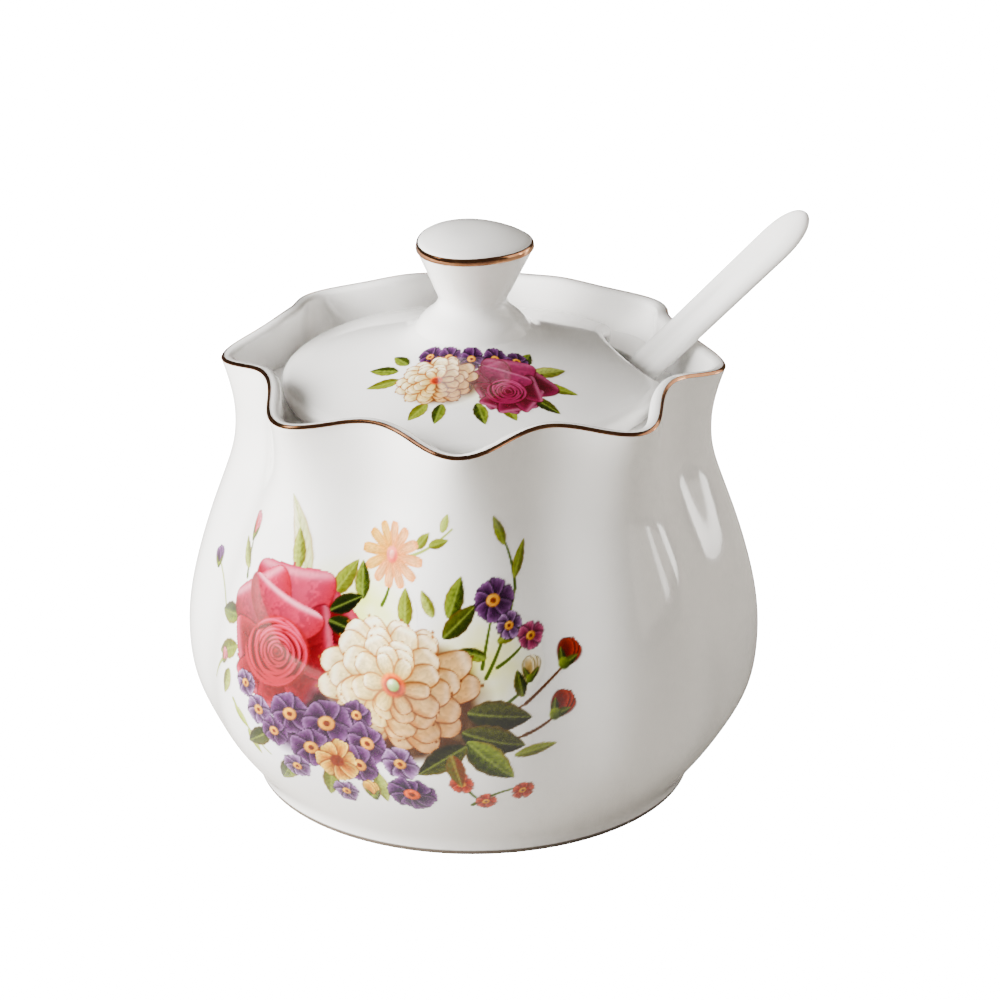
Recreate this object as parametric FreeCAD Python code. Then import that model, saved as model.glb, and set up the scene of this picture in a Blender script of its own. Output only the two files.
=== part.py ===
import FreeCAD, Part
import math
import os

# Porcelain sugar bowl with a waved mouth, a notched lid and a spoon.
# Millimetres, +Z up, +X to the right, -Y to the front.
# Origin: centre of the foot ring, on the surface it stands on.

# lobes and mouth
LOBES = 8
LOBE_TURN = math.radians(-3.2)      # direction of the lobe nearest +X
RIM_RADIUS = 48.1                   # mean radius of the lip's outer edge
RIM_HEIGHT = 92.4                   # mean height of the lip
RIM_SWING = 3.6                     # the lip's radius swings this much, out at each lobe
RIM_POINTEDNESS = 0.1               # share of the swing that sharpens the tips
RIM_DROP = 1.4                      # the lip's height swings this much, down at each lobe
RING_POINTS = 64

# outer wall, from the foot up: height, mean radius, depth of the lobes, sharpness of the grooves
FOOT_RADIUS = 46.0
WALL = [
    (0.0, FOOT_RADIUS, 0.0, 0.0),
    (2.5, FOOT_RADIUS + 0.9, 0.0, 0.0),
    (6.0, 49.3, 0.0, 0.0),
    (13.0, 54.5, 0.35, 0.05),
    (20.0, 57.9, 0.8, 0.15),
    (28.0, 59.3, 1.0, 0.2),
    (37.0, 59.0, 1.15, 0.2),
    (47.0, 56.9, 1.3, 0.2),
    (57.0, 53.7, 1.5, 0.15),
    (66.0, 50.2, 1.8, 0.1),
    (73.0, 47.9, 2.1, 0.05),
    (79.0, 47.1, 2.5, 0.0),
]
FLARE = 1.6                         # how late the neck turns out on its way up to the lip
NECK_SHARES = (0.35, 0.65, 0.88)    # how far up the neck its rings lie


# lip, as distances in from the outer edge and down from the top
LIP_OUTSIDE = [(0.12, 1.3), (0.0, 0.6)]
LIP_CORNER = [(0.12, 0.25), (0.45, 0.03)]
LIP_INSIDE = [(1.3, 0.0), (2.1, 0.2), (2.6, 0.8), (2.8, 1.8)]

# inside of the bowl
LEDGE_HEIGHT = 84.0
LEDGE_WALL = (43.6, 2.4)            # mean radius and lobe depth of the wall above the ledge
INNER_NECK_SHARES = (0.85, 0.6, 0.3)  # how far up from the ledge the inner neck's rings lie
THROAT_RADIUS = 37.8
THROAT_BOTTOM = 80.0
CAVITY = [(43.2, 71.0), (50.0, 56.0), (54.2, 40.0), (54.6, 28.0), (51.5, 16.5)]
FLOOR_HEIGHT = 6.0
FLOOR_RADIUS = 41.0
FOOT_RECESS_RADIUS = 41.5
FOOT_RECESS_DEPTH = 2.2
CUT_MARGIN = 1.0                    # how far a cutting shape runs past the face it opens

# lid, all one turned profile but for the notch
LID_GAP = 0.1                       # between the ledge and the lid that lies on it
LID_UNDERCUT = 0.4                  # the flat underside stops this far inside the edge
LID_EDGE = [(39.0, 84.5), (39.4, 85.6), (39.5, 87.0), (38.7, 88.2)]
LID_DOME = [(35.0, 89.6), (30.0, 91.3), (24.0, 93.2), (18.0, 95.2), (14.0, 96.9)]
SEAT_RADIUS = 12.0                  # the flat where the knob's foot is luted on
SEAT_HEIGHT = 98.3
COLLAR_RADIUS = 36.0
COLLAR_INSIDE = 33.0
COLLAR_BOTTOM = 81.0
LID_HOLLOW = [(33.0, 86.4), (26.0, 89.7), (18.0, 92.1), (8.0, 94.3)]
LID_HOLLOW_TOP = 94.9

# notch in the lid's edge, an ellipse seen from above
NOTCH_TURN = math.radians(17.0)
NOTCH_CENTRE = 41.5
NOTCH_REACH = 11.6
NOTCH_HALF_WIDTH = 18.5
COLLAR_NOTCH_MARGIN = 1.6           # the collar below is cut away this much further
COLLAR_NOTCH_TOP = 86.0

# knob: radius and height of each ring, and how three-sided it is
KNOB_SIDES = 3
KNOB_TURN = math.radians(-8.0)
KNOB_STEM = [
    (SEAT_RADIUS, SEAT_HEIGHT, 0.0),
    (10.7, 100.1, 0.0),
    (8.9, 101.8, 0.0),
    (7.5, 103.4, 0.0),
    (7.15, 104.8, 0.005),
    (7.7, 106.3, 0.015),
    (8.8, 108.8, 0.03),
    (10.2, 111.9, 0.04),
    (11.4, 114.6, 0.045),
]
KNOB_BAND = [(11.85, 115.7, 0.045), (12.0, 116.4, 0.045), (11.6, 117.15, 0.045)]
KNOB_CROWN = [(10.2, 118.0, 0.04), (7.2, 118.95, 0.03), (4.0, 119.45, 0.01), (1.2, 119.6, 0.0)]

# spoon: where its middle line lies, and its sections
SPOON_TURN = math.radians(8.0)      # direction in which the handle leaves the bowl
SPOON_LEAN = math.radians(46.0)     # from upright
SPOON_TWIST = math.radians(30.0)    # about its own line, face towards the front
SPOON_CROSSING = (47.6, 98.3)       # radius and height at which the line passes over the lip
CROSSING_FROM_BOWL = 108.0          # distance from the middle of the spoon's bowl to there
SPOON_BOWL_LENGTH = 35.0
SPOON_BOWL_WIDTH = 25.0
SPOON_BOWL_DEPTH = 6.5
SPOON_BOWL_WALL = 2.0
HANDLE_DROP = 1.6                   # the handle's middle lies this far below the bowl's brim
OVAL_ARCS = 4                       # arcs in each oval across the spoon
EGG_STEPS = 6                       # ovals each side of the middle of the spoon's bowl
EGG_END = math.radians(86.0)
HANDLE = [                          # distance from the bowl's middle, width, thickness
    (14.0, 5.0, 2.2),
    (18.0, 6.6, 3.2),
    (28.0, 6.4, 3.7),
    (52.0, 7.0, 3.8),
    (84.0, 7.8, 3.8),
    (112.0, 8.5, 3.7),
    (128.5, 8.9, 3.5),
    (134.3, 8.2, 3.2),
    (137.3, 6.3, 2.5),
    (138.4, 3.5, 1.5),
]

# gilding
GILT_THICKNESS = 0.1
GILT_CORNER = (0.8, 0.6)            # outward and upward shares of the thickness at the lip's corner

TANGENT_STEP = 0.001                # radians, to find the lip's direction


def vector(x, y, z):
    return FreeCAD.Vector(x, y, z)


def turned(radius, angle, height):
    """The point at a radius, a direction and a height."""
    return vector(radius * math.cos(angle), radius * math.sin(angle), height)


def ring(place):
    """A smooth closed curve through place(angle), taken at even angles."""
    steps = range(RING_POINTS)
    points = [place(2 * math.pi * step / RING_POINTS) for step in steps]
    curve = Part.BSplineCurve()
    knots = [step / RING_POINTS for step in range(RING_POINTS + 1)]
    curve.interpolate(Points=points, PeriodicFlag=True, Parameters=knots)
    return Part.Wire([curve.toShape()])


def skin(rings):
    """The faces of a smooth open skin through rings that follow one another."""
    return Part.makeLoft(rings).Faces


def strip(first, second):
    """The narrow face between two rings."""
    return Part.makeRuledSurface(first.Edges[0], second.Edges[0])


def disc(wire):
    return Part.Face(wire)


def closed(faces):
    """The solid that these faces enclose."""
    shell = Part.makeShell(faces)
    shell.sewShape()
    solid = Part.makeSolid(Part.Shell(shell.Faces))
    if solid.Volume < 0:
        solid.reverse()
    return solid


def revolved(edges):
    """The solid made by turning a closed profile about Z."""
    face = Part.Face(Part.Wire(edges))
    return face.revolve(vector(0, 0, 0), vector(0, 0, 1), 360)


def flat_line(start, end):
    return Part.LineSegment(vector(start[0], 0, start[1]), vector(end[0], 0, end[1])).toShape()


def flat_curve(points):
    curve = Part.BSplineCurve()
    curve.interpolate([vector(radius, 0, height) for radius, height in points])
    return curve.toShape()


# --- the bowl ---------------------------------------------------------------------------------

def wave(angle, sharpness):
    """1 at a lobe's crest and -1 in a groove; sharpness narrows the groove or the crest."""
    phase = LOBES * (angle - LOBE_TURN)
    return math.cos(phase) - sharpness * math.cos(2 * phase)


def wall_place(height, radius, depth, sharpness):
    """Places round the outer wall at one height."""
    def place(angle):
        return turned(radius + depth * wave(angle, sharpness), angle, height)
    return place


def between(low, high, share, flare):
    """Places part of the way up from one ring to another; flare holds the outward turn back."""
    def place(angle):
        start, end = low(angle), high(angle)
        out = share ** flare
        level = start + (end - start) * out
        return vector(level.x, level.y, start.z + (end.z - start.z) * share)
    return place


def ledge_place(angle):
    return turned(LEDGE_WALL[0] + LEDGE_WALL[1] * wave(angle, 0.0), angle, LEDGE_HEIGHT)


def lip_edge(angle):
    radius = RIM_RADIUS + RIM_SWING * wave(angle, -RIM_POINTEDNESS)
    return turned(radius, angle, RIM_HEIGHT - RIM_DROP * wave(angle, 0.0))


def lip_outward(angle):
    """The level direction square to the lip's outer edge."""
    along = lip_edge(angle + TANGENT_STEP) - lip_edge(angle - TANGENT_STEP)
    outward = vector(along.y, -along.x, 0)
    return outward.normalize()


def lip_place(inward, down):
    def place(angle):
        return lip_edge(angle) - lip_outward(angle) * inward - vector(0, 0, down)
    return place


def lip_rings(pairs):
    return [ring(lip_place(inward, down)) for inward, down in pairs]


def wall_rings():
    neck_low = wall_place(*WALL[-1])
    neck_high = lip_place(*LIP_OUTSIDE[0])
    neck = [ring(between(neck_low, neck_high, share, FLARE)) for share in NECK_SHARES]
    return [ring(wall_place(*row)) for row in WALL] + neck


def inner_neck_rings():
    ledge_wall = lip_place(*LIP_INSIDE[-1])
    return [ring(between(ledge_place, ledge_wall, share, 1.0)) for share in INNER_NECK_SHARES]


def cavity_shape():
    """The throat inside the ledge and the round hollow below it."""
    throat_top = (THROAT_RADIUS, LEDGE_HEIGHT + CUT_MARGIN)
    throat_bottom = (THROAT_RADIUS, THROAT_BOTTOM)
    floor_edge = (FLOOR_RADIUS, FLOOR_HEIGHT)
    centre_floor = (0, FLOOR_HEIGHT)
    centre_top = (0, LEDGE_HEIGHT + CUT_MARGIN)
    wall_curve = flat_curve([throat_bottom] + CAVITY + [floor_edge])
    return revolved([
        flat_line(centre_top, throat_top),
        flat_line(throat_top, throat_bottom),
        wall_curve,
        flat_line(floor_edge, centre_floor),
        flat_line(centre_floor, centre_top),
    ])


def make_bowl_body():
    outer_rings = wall_rings()
    outside_rings = lip_rings(LIP_OUTSIDE)
    inside_rings = lip_rings(LIP_INSIDE)
    corner_rings = lip_rings(LIP_CORNER)
    ledge_ring = ring(ledge_place)
    gilt_start = outside_rings[-1]
    gilt_end = corner_rings[-1]
    outer = skin(outer_rings + outside_rings)
    corner = skin([gilt_start] + corner_rings)
    inner = skin([gilt_end] + inside_rings + inner_neck_rings() + [ledge_ring])
    pot = closed([disc(outer_rings[0]), disc(ledge_ring)] + outer + corner + inner)
    recess = Part.makeCylinder(FOOT_RECESS_RADIUS, FOOT_RECESS_DEPTH)
    return pot.cut(cavity_shape()).cut(recess)


def make_rim_gilding():
    """A thin band of fired gold over the lip's outer corner."""
    pairs = [LIP_OUTSIDE[-1]] + LIP_CORNER
    outward = [(1.0, 0.0), GILT_CORNER, (0.0, 1.0)]
    under = lip_rings(pairs)
    over = lip_rings([
        (inward - GILT_THICKNESS * out, down - GILT_THICKNESS * up)
        for (inward, down), (out, up) in zip(pairs, outward)])
    return closed(skin(under) + skin(over) + [strip(under[0], over[0]), strip(under[-1], over[-1])])


# --- the lid ----------------------------------------------------------------------------------

def notch_cutter(margin, top):
    """An upright elliptic post that bites into the lid's edge, up to a height."""
    bottom = COLLAR_BOTTOM - CUT_MARGIN
    ellipse = Part.Ellipse(vector(0, 0, 0), NOTCH_HALF_WIDTH + margin, NOTCH_REACH + margin)
    post = Part.Face(Part.Wire([ellipse.toShape()])).extrude(vector(0, 0, top - bottom))
    post.rotate(vector(0, 0, 0), vector(0, 0, 1), 90)
    post.translate(vector(NOTCH_CENTRE, 0, bottom))
    post.rotate(vector(0, 0, 0), vector(0, 0, 1), math.degrees(NOTCH_TURN))
    return post


def make_lid_shell():
    under = LEDGE_HEIGHT + LID_GAP
    flange_edge = (LID_EDGE[0][0] - LID_UNDERCUT, under)
    collar_top = (COLLAR_RADIUS, under)
    collar_out = (COLLAR_RADIUS, COLLAR_BOTTOM)
    collar_in = (COLLAR_INSIDE, COLLAR_BOTTOM)
    seat_edge = (SEAT_RADIUS, SEAT_HEIGHT)
    hollow_top = (0, LID_HOLLOW_TOP)
    lid = revolved([
        flat_line((0, SEAT_HEIGHT), seat_edge),
        flat_curve([seat_edge] + LID_DOME[::-1] + LID_EDGE[::-1] + [flange_edge]),
        flat_line(flange_edge, collar_top),
        flat_line(collar_top, collar_out),
        flat_line(collar_out, collar_in),
        flat_line(collar_in, LID_HOLLOW[0]),
        flat_curve(LID_HOLLOW + [hollow_top]),
        flat_line(hollow_top, (0, SEAT_HEIGHT)),
    ])
    return lid.cut(notch_cutter(0.0, SEAT_HEIGHT)).cut(notch_cutter(COLLAR_NOTCH_MARGIN, COLLAR_NOTCH_TOP))


# --- the knob ---------------------------------------------------------------------------------

def knob_ring(radius, height, sided, proud=0.0):
    def place(angle):
        bulge = 1 + sided * math.cos(KNOB_SIDES * (angle - KNOB_TURN))
        return turned(radius * bulge + proud, angle, height)
    return ring(place)


def make_lid_knob():
    stem = [knob_ring(*row) for row in KNOB_STEM]
    band = [knob_ring(*row) for row in KNOB_BAND]
    crown = [knob_ring(*row) for row in KNOB_CROWN]
    sides = skin(stem + [band[0]]) + skin(band) + skin([band[-1]] + crown)
    return closed([disc(stem[0]), disc(crown[-1])] + sides)


def make_knob_gilding():
    under = [knob_ring(*row) for row in KNOB_BAND]
    over = [knob_ring(*row, proud=GILT_THICKNESS) for row in KNOB_BAND]
    return closed(skin(under) + skin(over) + [strip(under[0], over[0]), strip(under[-1], over[-1])])


# --- the spoon --------------------------------------------------------------------------------

def spoon_frame():
    """Origin in the middle of the spoon's bowl; Z along the handle, X across, Y out of the hollow."""
    lean_sin, lean_cos = math.sin(SPOON_LEAN), math.cos(SPOON_LEAN)
    along = vector(lean_sin * math.cos(SPOON_TURN), lean_sin * math.sin(SPOON_TURN), lean_cos)
    level = vector(-math.sin(SPOON_TURN), math.cos(SPOON_TURN), 0)
    below = level.cross(along)
    across = level * math.cos(SPOON_TWIST) - below * math.sin(SPOON_TWIST)
    face = along.cross(across)
    crossing = turned(SPOON_CROSSING[0], SPOON_TURN, SPOON_CROSSING[1])
    start = crossing - along * CROSSING_FROM_BOWL + face * HANDLE_DROP
    return FreeCAD.Matrix(
        across.x, face.x, along.x, start.x,
        across.y, face.y, along.y, start.y,
        across.z, face.z, along.z, start.z,
        0, 0, 0, 1)


def oval(width, thickness, sunk, at):
    """A true oval across the spoon, sunk below the brim, at a distance along it, in equal arcs."""
    side = vector(width / 2, -sunk, at)
    top = vector(0, thickness / 2 - sunk, at)
    ellipse = Part.Ellipse(side, top, vector(0, -sunk, at))
    arc = 2 * math.pi / OVAL_ARCS
    return Part.Wire([ellipse.toShape(step * arc, (step + 1) * arc) for step in range(OVAL_ARCS)])


def egg(width, depth, length):
    """A solid egg along Z, whose ovals close to a small flat at each end."""
    turns = [step / EGG_STEPS * EGG_END for step in range(-EGG_STEPS, EGG_STEPS + 1)]
    ovals = [
        oval(width * math.cos(turn), 2 * depth * math.cos(turn), 0.0, length / 2 * math.sin(turn))
        for turn in turns]
    return Part.makeLoft(ovals, True)


def make_handle():
    return Part.makeLoft([oval(width, thickness, HANDLE_DROP, at) for at, width, thickness in HANDLE], True)


def make_spoon():
    wall = SPOON_BOWL_WALL
    outer = egg(SPOON_BOWL_WIDTH, SPOON_BOWL_DEPTH, SPOON_BOWL_LENGTH)
    hollow = egg(SPOON_BOWL_WIDTH - 2 * wall, SPOON_BOWL_DEPTH - wall, SPOON_BOWL_LENGTH - 2 * wall)
    reach = SPOON_BOWL_LENGTH
    open_side = Part.makeBox(2 * reach, reach, 2 * reach, vector(-reach, 0, -reach))
    shell = outer.cut(open_side).cut(hollow)
    spoon = shell.fuse(make_handle().cut(hollow))
    spoon.transformShape(spoon_frame())
    return spoon


PIECES = {
    "bowl_body": make_bowl_body,
    "rim_gilding": make_rim_gilding,
    "lid_shell": make_lid_shell,
    "lid_knob": make_lid_knob,
    "knob_gilding": make_knob_gilding,
    "spoon": make_spoon,
}

os.makedirs("parts", exist_ok=True)
for name, make in PIECES.items():
    shape = make()
    shape.exportStep("parts/" + name + ".step")
    print(name, shape.isValid(), len(shape.Solids), round(shape.Volume, 1))
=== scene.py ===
import math
import bpy
import numpy as np
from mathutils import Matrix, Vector


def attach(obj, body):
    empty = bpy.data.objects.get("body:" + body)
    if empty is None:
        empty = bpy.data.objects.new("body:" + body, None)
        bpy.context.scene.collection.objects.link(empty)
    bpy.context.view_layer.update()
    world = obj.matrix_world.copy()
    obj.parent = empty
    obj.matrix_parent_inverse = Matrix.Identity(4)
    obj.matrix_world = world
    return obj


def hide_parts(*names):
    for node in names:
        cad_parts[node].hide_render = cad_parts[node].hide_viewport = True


# Porcelain sugar bowl: fine glazed surfaces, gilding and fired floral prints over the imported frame.
# Shapes are worked out in millimetres and turned to metres when a mesh is made.

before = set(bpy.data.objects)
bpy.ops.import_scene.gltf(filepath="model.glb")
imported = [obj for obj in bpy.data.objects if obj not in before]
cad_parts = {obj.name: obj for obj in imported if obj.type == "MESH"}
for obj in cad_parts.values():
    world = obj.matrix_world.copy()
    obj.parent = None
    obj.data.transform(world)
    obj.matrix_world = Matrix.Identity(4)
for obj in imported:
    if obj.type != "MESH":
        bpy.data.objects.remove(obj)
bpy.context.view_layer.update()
MM = 0.001
SEED = 20

# --- the bowl's driving sizes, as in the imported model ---
LOBES = 8
LOBE_TURN = math.radians(-3.2)
RIM_RADIUS = 48.1
RIM_HEIGHT = 92.4
RIM_SWING = 3.6
RIM_POINTEDNESS = 0.1
RIM_DROP = 1.4
FOOT_RADIUS = 46.0
WALL = [                            # height, mean radius, depth of the lobes, groove sharpness
    (0.0, FOOT_RADIUS, 0.0, 0.0),
    (2.5, FOOT_RADIUS + 0.9, 0.0, 0.0),
    (6.0, 49.3, 0.0, 0.0),
    (13.0, 54.5, 0.35, 0.05),
    (20.0, 57.9, 0.8, 0.15),
    (28.0, 59.3, 1.0, 0.2),
    (37.0, 59.0, 1.15, 0.2),
    (47.0, 56.9, 1.3, 0.2),
    (57.0, 53.7, 1.5, 0.15),
    (66.0, 50.2, 1.8, 0.1),
    (73.0, 47.9, 2.1, 0.05),
    (79.0, 47.1, 2.5, 0.0),
]
FLARE = 1.6
NECK_SHARES = (0.35, 0.65, 0.88)
INNER_NECK_SHARES = (0.85, 0.6, 0.3)
TANGENT_STEP = 0.001                # radians, to find the lip's direction
LIP_OUTSIDE = [(0.12, 1.3), (0.0, 0.6)]
LIP_CORNER = [(0.12, 0.25), (0.45, 0.03)]
LIP_INSIDE = [(1.3, 0.0), (2.1, 0.2), (2.6, 0.8), (2.8, 1.8)]
LEDGE_HEIGHT = 84.0
LEDGE_WALL = (43.6, 2.4)
THROAT_RADIUS = 37.8
THROAT_BOTTOM = 80.0
CAVITY = [(43.2, 71.0), (50.0, 56.0), (54.2, 40.0), (54.6, 28.0), (51.5, 16.5), (41.0, 6.0)]
FOOT_RECESS_RADIUS = 41.5
FOOT_RECESS_DEPTH = 2.2

LID_EDGE = [(39.0, 84.5), (39.4, 85.6), (39.5, 87.0), (38.7, 88.2)]
LID_DOME = [(35.0, 89.6), (30.0, 91.3), (24.0, 93.2), (18.0, 95.2), (14.0, 96.9)]
LID_UNDER = 84.1
SEAT = (12.0, 98.3)
COLLAR_RADIUS = 36.0
COLLAR_INSIDE = 33.0
COLLAR_BOTTOM = 81.0
LID_HOLLOW = [(33.0, 86.4), (26.0, 89.7), (18.0, 92.1), (8.0, 94.3), (0.0, 94.9)]
NOTCH_TURN = math.radians(17.0)
NOTCH_CENTRE = 41.5
NOTCH_REACH = 11.6
NOTCH_HALF_WIDTH = 18.5
NOTCH_CORNER = 1.1                  # softness of the notch's corners
NOTCH_FADE = (0.4, 2.5)             # how far inside the edge the notch's own section starts, and grows
OUTLINE_FINE = 20000
LID_COLUMNS = 720
LID_ROUNDING = 1.7
LID_WIDEST = 1.9                    # below the top, where the edge stands out furthest
LID_THICKNESS = 3.3                 # at the notch, where no flange lies on the ledge
COLLAR_SET_IN = (2.4, 3.2)          # least distances of the collar's two faces inside the outline

KNOB_SIDES = 3
KNOB_STEPS = 6                      # rows between two rings
KNOB_TURN = math.radians(-8.0)
KNOB_STEM = [
    (12.0, 98.3, 0.0),
    (10.7, 100.1, 0.0),
    (8.9, 101.8, 0.0),
    (7.5, 103.4, 0.0),
    (7.15, 104.8, 0.005),
    (7.7, 106.3, 0.015),
    (8.8, 108.8, 0.03),
    (10.2, 111.9, 0.04),
    (11.4, 114.6, 0.045),
]
KNOB_BAND = [(11.85, 115.7, 0.045), (12.0, 116.4, 0.045), (11.6, 117.15, 0.045)]
KNOB_CROWN = [(10.2, 118.0, 0.04), (7.2, 118.95, 0.03), (4.0, 119.45, 0.01), (0.02, 119.6, 0.0)]

SPOON_TURN = math.radians(8.0)
SPOON_LEAN = math.radians(46.0)
SPOON_TWIST = math.radians(30.0)
SPOON_CROSSING = (47.6, 98.3)
CROSSING_FROM_BOWL = 108.0
SPOON_BOWL = (17.5, 12.5, 6.5)      # half length, half width, depth
SPOON_BOWL_WALL = 2.0
HANDLE_DROP = 1.6
HANDLE = [                          # distance from the bowl's middle, width, thickness
    (14.0, 5.0, 2.2),
    (18.0, 6.6, 3.2),
    (28.0, 6.4, 3.7),
    (52.0, 7.0, 3.8),
    (84.0, 7.8, 3.8),
    (112.0, 8.5, 3.7),
    (128.5, 8.9, 3.5),
]
TIP_END = 138.4                     # the handle's end, rounded from the last section on
TIP_FULLNESS = 2.4
TIP_THINNING = 0.7
GROOVE_DEPTH = 0.8                  # the shallow hollow along the handle's face
GROOVE_START = (40.0, 30.0)         # where it begins, and the length over which it deepens
GROOVE_STOP = (132.0, 20.0)         # where it ends, and the length over which it fades
GROOVE_WIDTH = 0.42                 # as a share of the handle's half width
HOLLOW_SIDE = 0.7                   # the spoon's wall at its sides, as a share of the wall below
HOLLOW_END = 1.5
BOWL_TO_HANDLE = (13.0, 10.0)       # where the spoon's bowl starts to become the handle, and over what
HANDLE_ALONE = 6.0                  # past the bowl's end by this, there is only the handle

GILT_THICKNESS = 0.1
GILT_CORNER = (0.8, 0.6)            # outward and upward shares at the lip's corner
GILT_COLUMNS = 1024
COLUMNS = 448                       # round the bowl

# printed sprays: left, right, low and high edges of each sheet
BOWL_PRINT = (-72.0, 36.0, 14.0, 84.0)
LID_PRINT = (-24.0, 24.0, -34.0, -6.0)
PRINT_CELL = 0.25
LID_CELL = 0.15
PRINT_MIDDLE = math.radians(-100.0)  # direction of the bowl sheet's zero line
PRINT_RADIUS = 57.0                  # turns millimetres round the wall into an angle
PRINT_PROUD = 0.03
WALL_INSET = 0.05                    # the fine wall lies this far in, so the prints on it stay in the box
COVER_LEAST = 0.02
PORCELAIN_WHITE = (0.865, 0.855, 0.838)
PAINT_DEPTH = 2.9                   # how strongly the fired colours stand out from the white


# --- curves and grids ---

def spline(points, steps):
    """Rows through points[k] by a natural cubic spline, steps[k] rows in each gap, ends included."""
    points = np.asarray(points, float)
    count = len(points)
    gaps = np.linalg.norm(np.diff(points.reshape(count, -1, points.shape[-1]), axis=0), axis=2).mean(axis=1)
    at = np.concatenate([[0.0], np.cumsum(np.maximum(gaps, 1e-6))])
    flat = points.reshape(count, -1)
    system = np.zeros((count, count))
    right = np.zeros_like(flat)
    system[0, 0] = system[-1, -1] = 1.0
    for row in range(1, count - 1):
        before, after = at[row] - at[row - 1], at[row + 1] - at[row]
        system[row, row - 1] = before
        system[row, row] = 2 * (before + after)
        system[row, row + 1] = after
        right[row] = 6 * ((flat[row + 1] - flat[row]) / after - (flat[row] - flat[row - 1]) / before)
    bend = np.linalg.solve(system, right)
    rows = []
    for gap in range(count - 1):
        width = at[gap + 1] - at[gap]
        for step in range(steps[gap]):
            share = step / steps[gap]
            left, far = width * (1 - share), width * share
            rows.append(
                (bend[gap] * left ** 3 + bend[gap + 1] * far ** 3) / (6 * width)
                + (flat[gap] / width - bend[gap] * width / 6) * left
                + (flat[gap + 1] / width - bend[gap + 1] * width / 6) * far)
    rows.append(flat[-1])
    return np.array(rows).reshape((len(rows),) + points.shape[1:])


def even_steps(points, size):
    """How many rows each gap takes so that a row is about this long."""
    points = np.asarray(points, float)
    flat = points.reshape(len(points), -1, points.shape[-1])
    gaps = np.linalg.norm(np.diff(flat, axis=0), axis=2).mean(axis=1)
    return [max(1, int(round(gap / size))) for gap in gaps]


def grid_normals(grid, wrap):
    """Unit normals of a grid of points by central differences; wrap closes the columns."""
    if wrap:
        across = np.roll(grid, -1, axis=1) - np.roll(grid, 1, axis=1)
    else:
        across = np.gradient(grid, axis=1)
    down = np.gradient(grid, axis=0)
    normal = np.cross(across, down)
    length = np.linalg.norm(normal, axis=2, keepdims=True)
    return normal / np.maximum(length, 1e-12)


def grid_faces(rows, columns, wrap):
    row, column = np.meshgrid(np.arange(rows - 1), np.arange(columns if wrap else columns - 1), indexing="ij")
    here, below = row * columns, (row + 1) * columns
    after = (column + 1) % columns
    return np.stack([here + column, here + after, below + after, below + column], axis=2).reshape(-1, 4)


def make_object(name, points, faces, body, material, normals):
    """A smooth mesh object in metres that rides on a body of the frame."""
    mesh = bpy.data.meshes.new(name)
    mesh.from_pydata((points * MM).tolist(), [], faces.tolist())
    mesh.validate()
    mesh.shade_smooth()
    mesh.normals_split_custom_set_from_vertices(normals.tolist())
    piece = bpy.data.objects.new(name, mesh)
    bpy.context.scene.collection.objects.link(piece)
    mesh.materials.append(material)
    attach(piece, body)
    return piece


def skin_object(name, grids, body, material):
    """One object from several closed bands laid end to end, each smooth in itself."""
    points, faces, normals, start = [], [], [], 0
    for grid in grids:
        rows, columns = grid.shape[:2]
        points.append(grid.reshape(-1, 3))
        normals.append(grid_normals(grid, True).reshape(-1, 3))
        faces.append(grid_faces(rows, columns, True) + start)
        start += rows * columns
    return make_object(name, np.concatenate(points), np.concatenate(faces), body, material,
                       np.concatenate(normals))


def level_ring(radius, height, angles):
    radius = np.broadcast_to(radius, angles.shape)
    height = np.broadcast_to(height, angles.shape)
    return np.stack([radius * np.cos(angles), radius * np.sin(angles), height], axis=1)


def turned_grid(profile, angles, size):
    """A turned surface through (radius, height) points."""
    rows = spline(profile, even_steps(profile, size))
    return np.stack([level_ring(radius, height, angles) for radius, height in rows])


def straight(first, last, count):
    share = np.linspace(0, 1, count)[:, None, None]
    return first[None] * (1 - share) + last[None] * share


ROUND = np.linspace(0, 2 * math.pi, COLUMNS, endpoint=False)


# --- the bowl ---

def wave(angles, sharpness):
    phase = LOBES * (angles - LOBE_TURN)
    return np.cos(phase) - sharpness * np.cos(2 * phase)


def wall_ring(height, radius, depth, sharpness, angles):
    return level_ring(radius - WALL_INSET + depth * wave(angles, sharpness), height, angles)


def lip_ring(inward, down, angles):
    def edge(at):
        return level_ring(RIM_RADIUS + RIM_SWING * wave(at, -RIM_POINTEDNESS),
                          RIM_HEIGHT - RIM_DROP * wave(at, 0.0), at)
    along = edge(angles + TANGENT_STEP) - edge(angles - TANGENT_STEP)
    outward = np.stack([along[:, 1], -along[:, 0], np.zeros(len(angles))], axis=1)
    outward /= np.linalg.norm(outward, axis=1, keepdims=True)
    return edge(angles) - outward * inward - np.array([0, 0, down])


def between(low, high, share, flare):
    level = low + (high - low) * share ** flare
    level[:, 2] = low[:, 2] + (high[:, 2] - low[:, 2]) * share
    return level


def outer_rings(angles):
    rings = [wall_ring(*row, angles) for row in WALL]
    lip = lip_ring(*LIP_OUTSIDE[0], angles)
    rings += [between(rings[-1], lip, share, FLARE) for share in NECK_SHARES]
    return rings


def whole_wall(angles):
    """Rings from the foot, over the lip and down to the ledge."""
    rings = outer_rings(angles)
    rings += [lip_ring(*pair, angles) for pair in LIP_OUTSIDE + LIP_CORNER + LIP_INSIDE]
    ledge = level_ring(LEDGE_WALL[0] + LEDGE_WALL[1] * wave(angles, 0.0), LEDGE_HEIGHT, angles)
    last = lip_ring(*LIP_INSIDE[-1], angles)
    rings += [between(ledge, last, share, 1.0) for share in INNER_NECK_SHARES]
    return rings + [ledge]


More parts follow.
